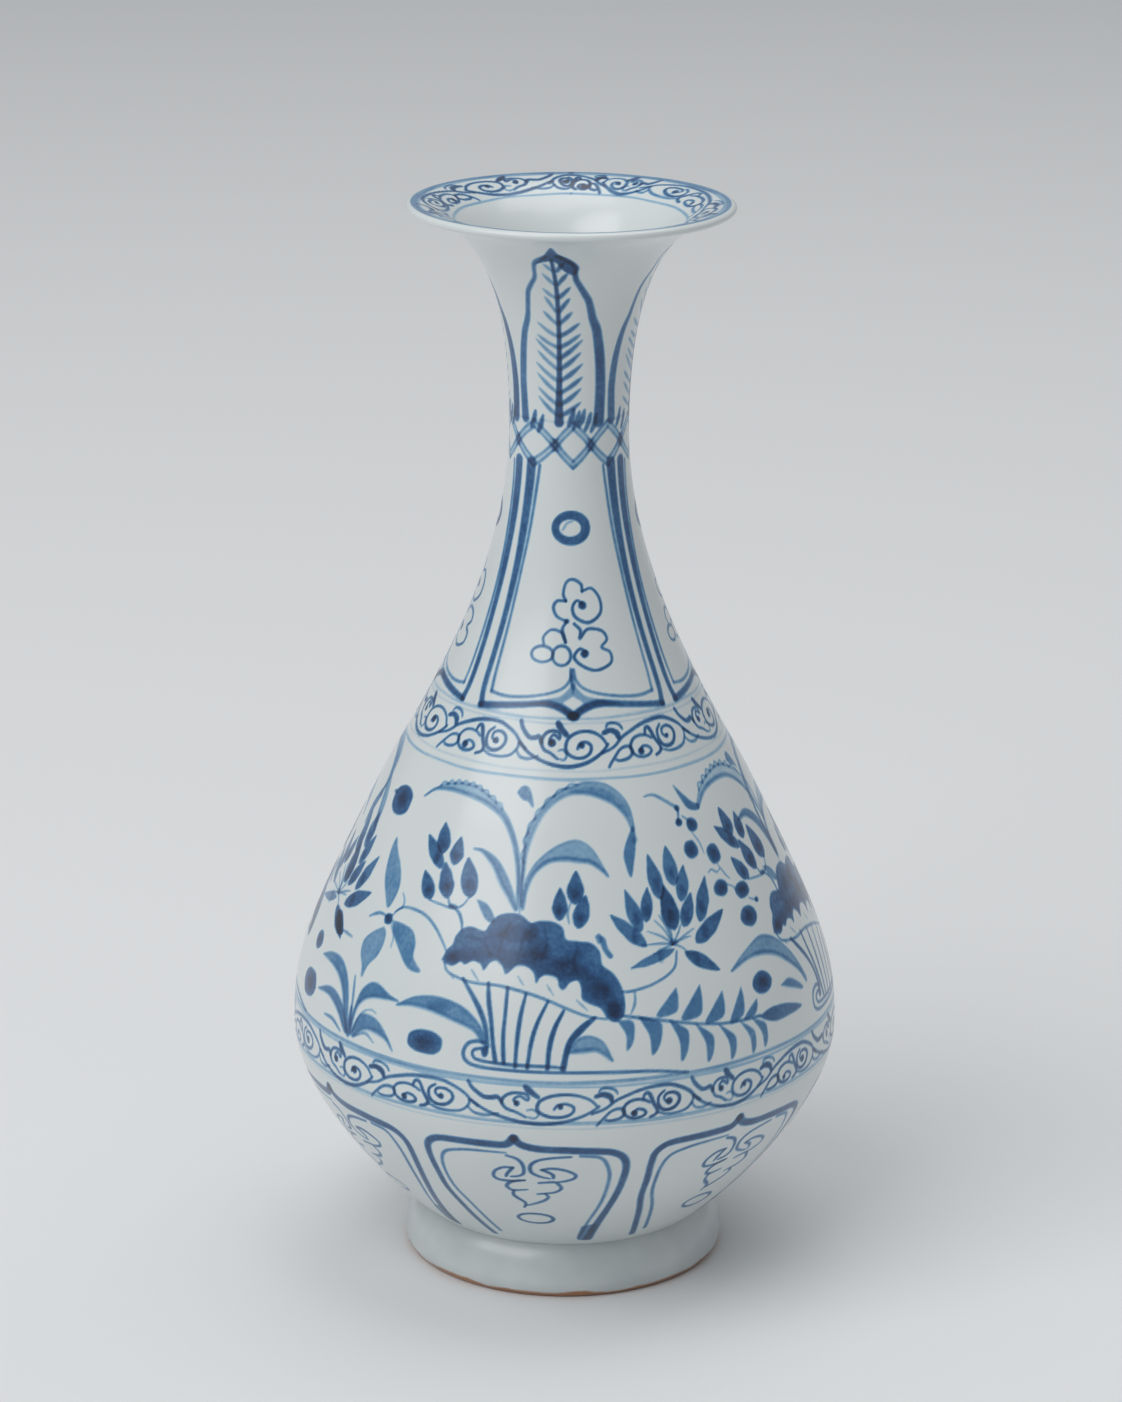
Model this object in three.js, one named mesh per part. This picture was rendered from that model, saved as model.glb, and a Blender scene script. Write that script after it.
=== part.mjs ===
// Pear-shaped porcelain bottle, thrown in sections that are luted together with slip, on a splayed foot ring.
// Units are millimetres, +Z is up, and the origin is the centre of the foot's resting face.
import * as THREE from "three";

// Foot ring
const footHeight = 13.2; // resting face to the joint under the body
const footRadius = 43.7; // widest point of the splayed foot
const footJointRadius = 39.3; // outside of the foot where the body starts
const footBoreTop = 32.5; // inner radius under the base
const footBoreBottom = 34.5; // inner radius at the resting face
const footBulgeHeight = 4; // height of the widest point
const footBevel = 1.8; // trimmed edge round the resting face

// Outer profile of the body, neck and mouth
const bodyStart = 14; // height where the body leaves the foot
const bellyRadius = 74.0;
const bellyHeight = 66.0;
const shoulderRadius = 50.2; // where the outline turns from convex to concave
const shoulderHeight = 134.0;
const neckRadius = 15.8; // the narrowest point
const neckHeight = 231.4;
const mouthRadius = 41.8; // where the rolled lip begins
const mouthHeight = 288.8;

// Reach and lean of the profile's curve handles
const bowlSpread = 9.6; // how far the bowl's first handle goes out
const bowlRise = 7.0; // how far it goes up
const bellyDrop = 18.4; // handle under the belly
const bellyLift = 18.6; // handle over the belly
const shoulderLean = 25.8; // lean of the wall at the shoulder, degrees from upright
const shoulderBelow = 44.8; // handle under the shoulder point
const shoulderAbove = 15.2; // handle over it
const neckDrop = 42.9; // handle under the neck's narrowest point
const neckLift = 32.1; // handle over it
const flareRun = 19.8; // handle of the flare's nearly level end
const flareFall = 1.9; // how far that handle hangs below the lip

// Walls and joints
const bodyWall = 4.6;
const neckWall = 3.4;
const lipThickness = 2.3;
const lipReach = 1.5; // how far the rolled lip stands out past the flare
const floorThickness = 6;
const slipThickness = 0.8; // layer of slip in each joint
const slipBead = 1; // ridge of slip that squeezes out inside
const bellySeam = 69.6; // height of the joint at the widest part
const shoulderSeam = 166;
const mouthSeam = 250;

// Facets
const turns = 64; // steps round the axis
const rowPitch = 8.6; // spacing of profile points along the wall
const lipSteps = 6;
const finePoints = 400; // samples of each profile curve before it is thinned

const degrees = Math.PI / 180;

// The outer wall as four cubic curves: bowl, belly, shoulder and flare.
function outerCurve() {
  const leanX = Math.sin(shoulderLean * degrees);
  const leanY = Math.cos(shoulderLean * degrees);
  const path = new THREE.Path();
  path.moveTo(footJointRadius, bodyStart);
  path.bezierCurveTo(
    footJointRadius + bowlSpread, bodyStart + bowlRise,
    bellyRadius, bellyHeight - bellyDrop,
    bellyRadius, bellyHeight,
  );
  path.bezierCurveTo(
    bellyRadius, bellyHeight + bellyLift,
    shoulderRadius + leanX * shoulderBelow, shoulderHeight - leanY * shoulderBelow,
    shoulderRadius, shoulderHeight,
  );
  path.bezierCurveTo(
    shoulderRadius - leanX * shoulderAbove, shoulderHeight + leanY * shoulderAbove,
    neckRadius, neckHeight - neckDrop,
    neckRadius, neckHeight,
  );
  path.bezierCurveTo(
    neckRadius, neckHeight + neckLift,
    mouthRadius - flareRun, mouthHeight - flareFall,
    mouthRadius, mouthHeight,
  );
  return path.curves.flatMap((curve) => curve.getPoints(finePoints).slice(1));
}

// Wall thickness at a height: the body's wall thins to the neck's, and then to the lip's.
function wallAt(height) {
  const toNeck = THREE.MathUtils.smoothstep(height, bellyHeight, neckHeight);
  const toLip = THREE.MathUtils.smoothstep(height, neckHeight, mouthHeight);
  return THREE.MathUtils.lerp(THREE.MathUtils.lerp(bodyWall, neckWall, toNeck), lipThickness, toLip);
}

// The inner wall: each outer point moved inwards, square to the wall, by the thickness there.
function innerCurve(outer) {
  return outer.map((point, i) => {
    const before = outer[Math.max(i - 1, 0)];
    const after = outer[Math.min(i + 1, outer.length - 1)];
    const along = new THREE.Vector2().subVectors(after, before).normalize();
    const wall = wallAt(point.y);
    return new THREE.Vector2(point.x - along.y * wall, point.y + along.x * wall);
  });
}

// The point of a rising profile at one height.
function pointAt(profile, height) {
  const i = profile.findIndex((point) => point.y >= height);
  const low = profile[i - 1];
  const high = profile[i];
  return low.clone().lerp(high, (height - low.y) / (high.y - low.y));
}

// The stretch of a rising profile between two heights, thinned to even steps along the wall.
function stretch(profile, low, high) {
  const between = profile.filter((point) => point.y > low && point.y < high);
  const all = [pointAt(profile, low), ...between];
  if (high < profile[profile.length - 1].y) all.push(pointAt(profile, high));
  let total = 0;
  const reached = all.map((point, i) => (total += i ? point.distanceTo(all[i - 1]) : 0));
  const steps = Math.max(2, Math.round(total / rowPitch));
  return Array.from({ length: steps + 1 }, (_, step) => {
    const goal = (total * step) / steps;
    const i = Math.max(1, reached.findIndex((length) => length >= goal - 1e-9));
    const share = (goal - reached[i - 1]) / (reached[i] - reached[i - 1]);
    return all[i - 1].clone().lerp(all[i], THREE.MathUtils.clamp(share, 0, 1));
  });
}

// Turns a profile of radius and height round the vertical axis.
function turned(name, profile, colour, roughness) {
  const geometry = new THREE.LatheGeometry(profile, turns);
  geometry.rotateX(Math.PI / 2);
  const material = new THREE.MeshStandardMaterial({ color: colour, roughness, metalness: 0 });
  const mesh = new THREE.Mesh(geometry, material);
  mesh.name = name;
  return mesh;
}

// A ring's profile: up the outside, then down the inside, and closed on itself.
function ringProfile(outside, inside) {
  return [...outside, ...inside.slice().reverse(), outside[0].clone()];
}

const glaze = "#dfe5e4";
const slip = "#d8d3c6";
const outer = outerCurve();
const inner = innerCurve(outer);

// Splayed foot with a bulging side, a trimmed resting edge and a slightly tapered bore.
function footRing() {
  const side = new THREE.QuadraticBezierCurve(
    new THREE.Vector2(footRadius, footBulgeHeight),
    new THREE.Vector2(footRadius - footBevel / 2, footHeight - footBulgeHeight / 2),
    new THREE.Vector2(footJointRadius, footHeight),
  ).getPoints(lipSteps);
  const rest = new THREE.Vector2(footRadius - footBevel, 0);
  const bevel = new THREE.Vector2(footRadius - footBevel / 4, footBevel);
  const outside = [rest, bevel, ...side];
  const inside = [new THREE.Vector2(footBoreBottom, 0), new THREE.Vector2(footBoreTop, footHeight)];
  return turned("foot_ring", ringProfile(outside, inside), glaze, 0.25);
}

// The layer of slip in one joint, flush outside and squeezed into a small ridge inside.
function slipRing(name, seam, boreRadius) {
  const top = seam + slipThickness;
  const outLow = seam < bodyStart ? new THREE.Vector2(footJointRadius, seam) : pointAt(outer, seam);
  const outHigh = seam < bodyStart ? new THREE.Vector2(footJointRadius, top) : pointAt(outer, top);
  const inLow = boreRadius ? new THREE.Vector2(boreRadius, seam) : pointAt(inner, seam);
  const inHigh = boreRadius ? new THREE.Vector2(boreRadius, top) : pointAt(inner, top);
  const ridge = new THREE.Vector2((inLow.x + inHigh.x) / 2 - slipBead, seam + slipThickness / 2);
  return turned(name, ringProfile([outLow, outHigh], [inLow, ridge, inHigh]), slip, 0.7);
}

// Bowl with the floor of the bottle, whose flat underside sits on the foot's joint.
function lowerBody() {
  const floorTop = bodyStart + floorThickness;
  const edge = new THREE.Vector2(footJointRadius, bodyStart);
  const outside = [edge, ...stretch(outer, outer[0].y + 1e-6, bellySeam)];
  const inside = stretch(inner, floorTop, bellySeam).reverse();
  const profile = [new THREE.Vector2(0, bodyStart), ...outside, ...inside, new THREE.Vector2(0, floorTop)];
  return turned("lower_body", profile, glaze, 0.2);
}

// An open section between two joints.
function section(name, low, high) {
  return turned(name, ringProfile(stretch(outer, low, high), stretch(inner, low, high)), glaze, 0.2);
}

// Flared mouth that ends in a rolled lip.
function mouth() {
  const outside = stretch(outer, mouthSeam + slipThickness, outer[outer.length - 1].y);
  const inside = stretch(inner, mouthSeam + slipThickness, inner[inner.length - 1].y);
  const under = outer[outer.length - 1];
  const over = inner[inner.length - 1];
  const middle = under.clone().add(over).multiplyScalar(0.5);
  const up = new THREE.Vector2().subVectors(over, under).multiplyScalar(0.5);
  const out = new THREE.Vector2(up.y, -up.x).normalize().multiplyScalar(lipReach);
  const lip = Array.from({ length: lipSteps - 1 }, (_, i) => {
    const angle = (Math.PI * (i + 1)) / lipSteps - Math.PI / 2;
    return middle.clone().addScaledVector(out, Math.cos(angle)).addScaledVector(up, Math.sin(angle));
  });
  const last = outside.length - 1;
  outside[last] = under.clone();
  inside[inside.length - 1] = over.clone();
  return turned("mouth", ringProfile([...outside, ...lip], inside), glaze, 0.2);
}

const bottle = new THREE.Group();
bottle.add(
  footRing(),
  slipRing("foot_slip", footHeight, footBoreTop),
  lowerBody(),
  slipRing("belly_slip", bellySeam),
  section("upper_body", bellySeam + slipThickness, shoulderSeam),
  slipRing("shoulder_slip", shoulderSeam),
  section("neck", shoulderSeam + slipThickness, mouthSeam),
  slipRing("mouth_slip", mouthSeam),
  mouth(),
);

export default bottle;
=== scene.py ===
# Pear-shaped porcelain bottle painted in underglaze blue.
# Brush strokes are written as (degrees round the axis, height in mm); 0 degrees faces the viewer.
import math
import bpy
import numpy as np
from mathutils import Matrix


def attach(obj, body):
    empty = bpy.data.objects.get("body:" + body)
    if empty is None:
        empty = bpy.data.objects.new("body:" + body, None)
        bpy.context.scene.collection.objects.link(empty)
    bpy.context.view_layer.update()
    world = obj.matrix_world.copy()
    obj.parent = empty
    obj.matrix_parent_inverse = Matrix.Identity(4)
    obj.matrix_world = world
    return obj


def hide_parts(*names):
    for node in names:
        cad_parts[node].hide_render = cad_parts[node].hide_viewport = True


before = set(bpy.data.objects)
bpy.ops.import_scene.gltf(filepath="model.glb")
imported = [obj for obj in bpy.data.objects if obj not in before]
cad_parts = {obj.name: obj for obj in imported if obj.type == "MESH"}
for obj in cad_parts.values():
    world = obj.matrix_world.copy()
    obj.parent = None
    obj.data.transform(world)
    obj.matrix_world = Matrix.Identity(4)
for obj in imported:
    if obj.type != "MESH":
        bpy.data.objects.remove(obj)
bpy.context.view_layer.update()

rad = math.pi / 180
floorTop = 20.0
innerPitch = 7
mouthStretch = 1.03
rng = np.random.default_rng(7)

# outline of the outer wall, the same curve handles as the solid model, in mm
shape = dict(joint=39.3, start=14.0, bowlSpread=9.6, bowlRise=7.0, bellyR=74.0, bellyZ=66.0,
             bellyDrop=18.4, bellyLift=18.6, shoulderR=50.2, shoulderZ=134.0, lean=25.8,
             below=44.8, above=15.2, neckR=15.8, neckZ=231.4, neckDrop=42.9, neckLift=32.1,
             lipR=41.8, lipZ=288.8, flareRun=19.8, flareFall=1.9)
walls = dict(body=4.6, neck=3.4, lip=2.3, reach=1.5)


def cubic(a, b, c, d, count=300):
    # point = a(1-t)^3 + 3bt(1-t)^2 + 3ct^2(1-t) + dt^3
    t = np.linspace(0, 1, count)[1:, None]
    a, b, c, d = (np.array(p, float) for p in (a, b, c, d))
    return a * (1 - t) ** 3 + 3 * b * t * (1 - t) ** 2 + 3 * c * t * t * (1 - t) + d * t ** 3


def outline(s):
    # four curves joined end to end: bowl, belly, shoulder, flare
    dx, dz = math.sin(s["lean"] * rad), math.cos(s["lean"] * rad)
    belly = (s["bellyR"], s["bellyZ"])
    turn = (s["shoulderR"], s["shoulderZ"])
    waist = (s["neckR"], s["neckZ"])
    lip = (s["lipR"], s["lipZ"])
    return np.vstack([[(s["joint"], s["start"])], cubic((s["joint"], s["start"]),
        (s["joint"] + s["bowlSpread"], s["start"] + s["bowlRise"]), (belly[0], belly[1] - s["bellyDrop"]),
        belly), cubic(belly, (belly[0], belly[1] + s["bellyLift"]), (turn[0] + dx * s["below"],
        turn[1] - dz * s["below"]), turn), cubic(turn, (turn[0] - dx * s["above"],
        turn[1] + dz * s["above"]), (waist[0], waist[1] - s["neckDrop"]), waist), cubic(waist, (waist[0],
        waist[1] + s["neckLift"]), (lip[0] - s["flareRun"], lip[1] - s["flareFall"]), lip)])


def ease(x, low, high):
    # smooth step 3t^2 - 2t^3
    t = np.clip((x - low) / (high - low), 0, 1)
    return t * t * (3 - 2 * t)


outer = outline(shape)
slope = np.gradient(outer, axis=0)
slope /= np.hypot(*slope.T)[:, None]
toNeck = ease(outer[:, 1], shape["bellyZ"], shape["neckZ"])
toLip = ease(outer[:, 1], shape["neckZ"], shape["lipZ"])
thick = walls["body"] + (walls["neck"] - walls["body"]) * toNeck
thick = thick + (walls["lip"] - thick) * toLip
inner = outer + np.column_stack([-slope[:, 1], slope[:, 0]]) * thick[:, None]


def radiusAt(z):
    return np.interp(z, outer[:, 1], outer[:, 0])


def stretchAt(z):
    # mm of wall per mm of height
    return 1 / np.maximum(np.interp(z, outer[:, 1], slope[:, 1]), 0.12)


def leanAt(z):
    # outward normal of the wall as (radial, vertical)
    return np.column_stack([np.interp(z, outer[:, 1], slope[:, 1]), -np.interp(z, outer[:, 1], slope[:, 0])])


def cut(line, low, high, pitch):
    # part of a rising line between two heights, in even steps along the wall
    ends = [[np.interp(z, line[:, 1], line[:, 0]), z] for z in (low, high)]
    inside = line[(line[:, 1] > low + 1e-6) & (line[:, 1] < high - 1e-6)]
    part = np.vstack([ends[:1], inside, ends[1:]])
    run = np.r_[0, np.cumsum(np.hypot(*np.diff(part, axis=0).T))]
    at = np.linspace(0, run[-1], max(2, int(round(run[-1] / pitch)) + 1))
    return np.column_stack([np.interp(at, run, part[:, 0]), np.interp(at, run, part[:, 1])])


# painting: every stroke is a list of points with a width in mm and a tone
strokes = {"out": [], "in": []}


def metric(zone, h):
    # mm per degree round the wall, and mm along the wall per unit of h
    if zone == "in":
        return h * rad, mouthStretch
    return radiusAt(h) * rad, stretchAt(h)


def shift(zone, t, h, dx, dy):
    # a point moved by mm across and mm along the wall
    across, along = metric(zone, h)
    return t + dx / across, h + dy / along


def spline(points, per=6):
    # curve through the points: Catmull-Rom
    p = np.array(points, float)
    if len(p) < 3:
        return np.linspace(p[0], p[-1], 3)
    q = np.vstack([2 * p[0] - p[1], p, 2 * p[-1] - p[-2]])
    a, b, c, d = q[:-3, None], q[1:-2, None], q[2:-1, None], q[3:, None]
    t = np.linspace(0, 1, per, endpoint=False)[None, :, None]
    bend, twist = 2 * a - 5 * b + 4 * c - d, 3 * b - a - 3 * c + d
    body = 0.5 * (2 * b + (c - a) * t + bend * t ** 2 + twist * t ** 3)
    return np.vstack([body.reshape(-1, p.shape[1]), p[-1:]])


def brush(points, width=0.9, tone=0.8, zone="out", ends=(0.6, 0.5), soft=0.45):
    # a stroke whose width swells in the middle: w = width (end + (1 - end) sin(pi t))
    p = spline(points)
    t = np.linspace(0, 1, len(p))
    low = ends[0] + (ends[1] - ends[0]) * t
    wide = width * (low + (1 - low) * np.sin(math.pi * t) ** 0.7)
    wide = wide * (1 + 0.10 * np.sin(7 * t + rng.uniform(0, 6)))
    strokes[zone].append(("line", p, wide, tone * rng.uniform(0.9, 1.06), soft))


def fill(points, tone=0.35, zone="out", soft=0.5):
    strokes[zone].append(("fill", spline(list(points) + [points[0]], 4)[:-1], None, tone, soft))


def band(h, width=0.8, tone=0.85, zone="out"):
    # a line all the way round, with a slow wobble of the hand
    t = np.linspace(-180, 180, 145)
    wob = 0.12 * np.sin(3 * t * rad + h) + 0.08 * np.sin(11 * t * rad + 2 * h)
    p = np.column_stack([t, h + wob])
    wide = width * (1 + 0.12 * np.sin(5 * t * rad + h))
    strokes[zone].append(("line", p, wide, tone, 0.4))


# brushwork: each helper adds strokes, in degrees round the wall and mm of height
def spindle(tip, base, width, tone=0.62, core=0.35, zone="out", rim=0.22):
    # pointed petal from base to tip: half width = w/2 sin(pi s^0.75)^0.85, darker near the base
    across, along = metric(zone, base[1])
    axis = np.array([(tip[0] - base[0]) * across, (tip[1] - base[1]) * along])
    side = np.array([-axis[1], axis[0]]) / np.hypot(*axis)
    s = np.array([0, 0.06, 0.18, 0.35, 0.52, 0.7, 0.86, 1])
    half = width / 2 * np.sin(math.pi * s ** 0.75) ** 0.85
    half = half * (1 + rng.uniform(-0.08, 0.08, len(s)))
    left = s[:, None] * axis + half[:, None] * side
    right = s[:, None] * axis - half[:, None] * side
    unroll = np.array([across, along])
    start = np.array(base, float)
    fill(start + np.vstack([left, right[::-1][1:-1]]) / unroll, tone, zone)
    if rim:
        brush(start + left / unroll, 0.45, rim, zone)
        brush(start + right / unroll, 0.45, rim, zone)
    if core:
        pool = 0.32 * axis / unroll
        oval(start[0] + pool[0], start[1] + pool[1], width * 0.24, np.hypot(*axis) * 0.14, core, 0, zone, 1.4)


def oval(t, h, wide, tall, tone=0.75, core=0.4, zone="out", soft=0.6):
    # filled ellipse in mm, a little uneven, with a darker middle
    a = np.linspace(0, 2 * math.pi, 13)[:-1]
    r = 1 + rng.uniform(-0.06, 0.06, len(a))
    fill([shift(zone, t, h, wide * q * math.cos(b), tall * q * math.sin(b)) for q, b in zip(r, a)], tone,
         zone, soft)
    if core:
        fill([shift(zone, t, h, wide * 0.5 * math.cos(b), tall * 0.5 * math.sin(b)) for b in a], core, zone,
             1.6)


def hoop(t, h, wide, tall, width=0.8, tone=0.7, zone="out", start=0.0, sweep=360.0):
    a = (start + np.linspace(0, sweep, 15)) * rad
    brush([shift(zone, t, h, wide * math.cos(b), tall * math.sin(b)) for b in a], width, tone, zone,
          ends=(1, 1))


def patch(points, tone=0.5, zone="out", rim=0.0, soft=0.55):
    fill(points, tone, zone, soft)
    if rim:
        brush(list(points) + [points[0]], 0.5, rim, zone, ends=(1, 1))


def moved(points, t, h=0.0, wide=1.0, tall=1.0, mid=0.0):
    # strokes drawn once, placed again elsewhere on the wall
    return [(t + u * wide, h + mid + (v - mid) * tall) for u, v in points]


# one half wave of the classic scroll, 36 degrees long, height from the band's middle in mm
crest = [([(-2.3, -2), (2.4, -.7), (6.4, 1.4), (11, 2.8), (15.7, 3.9), (21, 4.5), (26.4, 4.5), (30.4, 3.6),
    (34.4, 2), (36.7, .2), (39, -1.2)], 0.95, 0.62), ([(-.4, -5.4), (.6, -4.4), (2.4, -3), (4.6, -1.5),
    (7, -.9), (9, -1.2), (9.4, -2.5), (7.6, -3.7), (4, -4.1), (2, -3.6)], 0.8, 0.62),
    ([(12.9, -2.3), (14.4, -1.4), (16.6, -1.7), (17.6, -2.7), (16.1, -3.6), (13.4, -3.9), (10.9, -3.4),
    (9.4, -2.2), (9.3, -.7), (11, .7), (14, 1.3), (17, 1.0), (19, .2)], 0.8, 0.7),
    ([(16.6, 1.5), (17.2, 2.6), (18.6, 2.8), (19.6, 1.6), (20.4, 0), (22, -2.2), (21.2, -3.4), (19.2, -4.0)],
    0.95, 0.72), ([(25.8, -.3), (24.6, .7), (25.3, 1.9), (28, 2.2), (30.2, 1.3), (30.6, -.2), (29, -1.8),
    (26.3, -2.5), (23.6, -2.0), (22.3, -.3), (22.6, 1.6), (24.6, 2.9)], 0.85, 0.72),
    ([(22.4, -2.9), (25.7, -3.7), (29.8, -3.7), (33.6, -3), (35.9, -1.2), (36.2, .2)], 0.75, 0.55),
    ([(-1, 2.8), (1.7, 3.3), (4.2, 2.6), (4.9, 1.4)], 1.5, 0.75), ([(.2, 4.1), (1.2, 4.9), (3.7, 5),
    (6, 4.4), (7, 3.4)], 0.7, 0.55)]
trough = [([(.7, .2), (4.4, -1.9), (8.4, -3.3), (13.1, -4.4), (17.1, -4.9), (21.1, -5), (26.4, -4.3),
    (30.4, -3.1), (33.4, -1.8), (36.2, 0)], 0.95, 0.65), ([(35.6, .2), (33.7, 1.9), (30.4, 3.1), (26.4, 3.4),
    (22.6, 2.8), (19.9, 1.4), (19.2, -.6), (20.3, -2), (23, -2.9), (26.4, -2.8), (28.8, -1.7), (29.2, -.1),
    (27.3, .8), (24.9, .5), (23.9, -.7)], 0.85, 0.68), ([(13.4, .5), (12.8, 1.6), (14.4, 2.6), (16.6, 1.6),
    (16.4, 3.1), (13.6, 3.5), (10.9, 2.8), (9.4, .9), (10.6, -1), (13.4, -1.9), (16.1, -3.2)], 0.8, 0.66),
    ([(16.4, -1.2), (18.2, -1), (19.6, -2.2), (18.6, -3.4), (16.8, -3.2)], 0.6, 0.45),
    ([(15.8, 5.4), (17.1, 4.2), (19.4, 2.6)], 1.6, 0.75), ([(-.3, 5.4), (1.1, 3.6), (4.1, 1.7), (6.4, 1.6),
    (8.2, 1.9), (9.4, .6)], 1.2, 0.66), ([(-.3, -1.8), (1.7, -3.2), (5.1, -3.5), (8.4, -2.7)], 0.75, 0.5)]


def scroll(low, high, edges, zone="out", weight=1.0, width=1.0):
    # half waves between the given angles: crests and troughs in turn
    mid, tall = (low + high) / 2, (high - low) / 10.6
    for k in range(len(edges) - 1):
        size = (edges[k + 1] - edges[k]) / 36
        strong = weight * rng.uniform(0.85, 1.15)
        for points, wide, tone in (crest if k % 2 == 0 else trough):
            line = [(edges[k] + u * size, mid + v * tall) for u, v in points]
            brush(line, wide * width, tone * strong, zone, ends=(0.7, 0.75))
        eyes = ((13.2, -2.5), (26.6, -.1)) if k % 2 == 0 else ((13.6, .6), (25.6, 0))
        for u, v in eyes:
            size_mm = rng.uniform(0.55, 1.05) * width
            oval(edges[k] + u * size, mid + v * tall, size_mm, size_mm, 0.9 * strong, 0, zone, 0.5)


def plantain(c):
    # upright leaf: heavy outline, dark cap, midrib that swells downwards, slanted veins
    left = [(-36.5, 236), (-37.5, 241), (-37.8, 246), (-35.5, 253), (-31.2, 259.3), (-26, 263.5),
        (-24, 266.5), (-21.2, 271), (-17, 273.6), (-13.6, 275.6), (-12.6, 278), (-10.6, 280.2), (-4, 282)]
    right = [(38.6, 235.8), (39.3, 241), (39.2, 246), (37, 253), (32, 260.5), (27.6, 264), (23.6, 268.6),
        (20.6, 270.6), (16.6, 273), (13.2, 275.4), (12.6, 277.6), (12.8, 279), (8, 281), (3, 282.2)]
    for side, heavy, full in ((left, 0.6, 0.68), (right, 0.72, 0.84)):
        p = moved(side, c)
        s = np.linspace(0, 1, len(spline(p)))
        wide = full * np.interp(s, [0, .25, .45, .8, 1], [3.6, 3.2, 2.1, 1.5, 1.9])
        strokes["out"].append(("line", spline(p), wide, heavy, 0.7))
    patch(moved([(-11.5, 279.4), (-5, 282), (-1.2, 284.4), (.6, 285), (3, 283), (8, 281.4), (13.4, 279.2),
        (12.4, 276.6), (6, 277.8), (.6, 280.6), (-5, 280.4)], c), 0.75)
    rib = spline(moved([(-1, 281), (.2, 272), (.6, 262), (.4, 250), (0, 242), (0, 235.8)], c))
    wide = np.interp(np.linspace(0, 1, len(rib)), [0, .5, .75, 1], [0.9, 1.1, 1.5, 2.3])
    strokes["out"].append(("line", rib, wide, 0.85, 0.6))
    for z0, z1, reach in ((277.5, 280, 6), (273.6, 277, 8), (269.8, 273.2, 9.5), (266, 269.6, 9),
            (262.6, 266.6, 11), (259, 262.4, 17), (256, 259.4, 18), (253, 257.6, 20), (250, 254.6, 19),
            (246.8, 251.8, 21), (243.6, 248.6, 21), (240.4, 245.4, 20), (237.4, 241.8, 20)):
        for sign in (-1, 1):
            top = z1 + rng.uniform(-0.8, 0.8)
            brush([(c + sign * 1.6, z0 + 0.3), (c + sign * reach * 0.5, (z0 + top) / 2 - 0.3),
                   (c + sign * reach, top)],
                  1.15 if sign > 0 else 1.0, 0.5 + 0.1 * sign, ends=(0.9, 0.15), soft=0.7)
    for u, v in ((12, 238.2), (17, 237.4), (22, 237.8), (28, 236.8), (34, 236.4), (-26, 237), (-18, 236)):
        brush([(c + u - 3, v - 3), (c + u, v - 1), (c + u + 2, v + 1.4)], 1.3, 0.62, soft=0.6)


def lattice(nodes, low, high):
    # strips that cross at the nodes, each two lines with a pale wash between
    mid, half = (low + high) / 2, (high - low) / 2
    for k, here in enumerate(nodes):
        after = nodes[(k + 1) % len(nodes)] + (360 if k == len(nodes) - 1 else 0)
        span = after - here
        for way in (-1, 1):
            line = np.array([(here - 2, mid - way * 0.6), (here + span * 0.25, mid + way * half * 0.55),
                             (here + span * 0.5, mid + way * half)])
            back = np.array([(here + span * 0.5, mid + way * half), (here + span * 0.75,
                                                                     mid + way * half * 0.55),
                             (here + span + 2, mid - way * 0.6)])
            for p in (line, back):
                brush(p, 2.0, 0.13, ends=(1, 1), soft=0.8)
                for off in (-0.95, 0.95):
                    brush([(u, v + off) for u, v in p], 0.6, 0.36, ends=(0.9, 0.9), soft=0.6)


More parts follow.
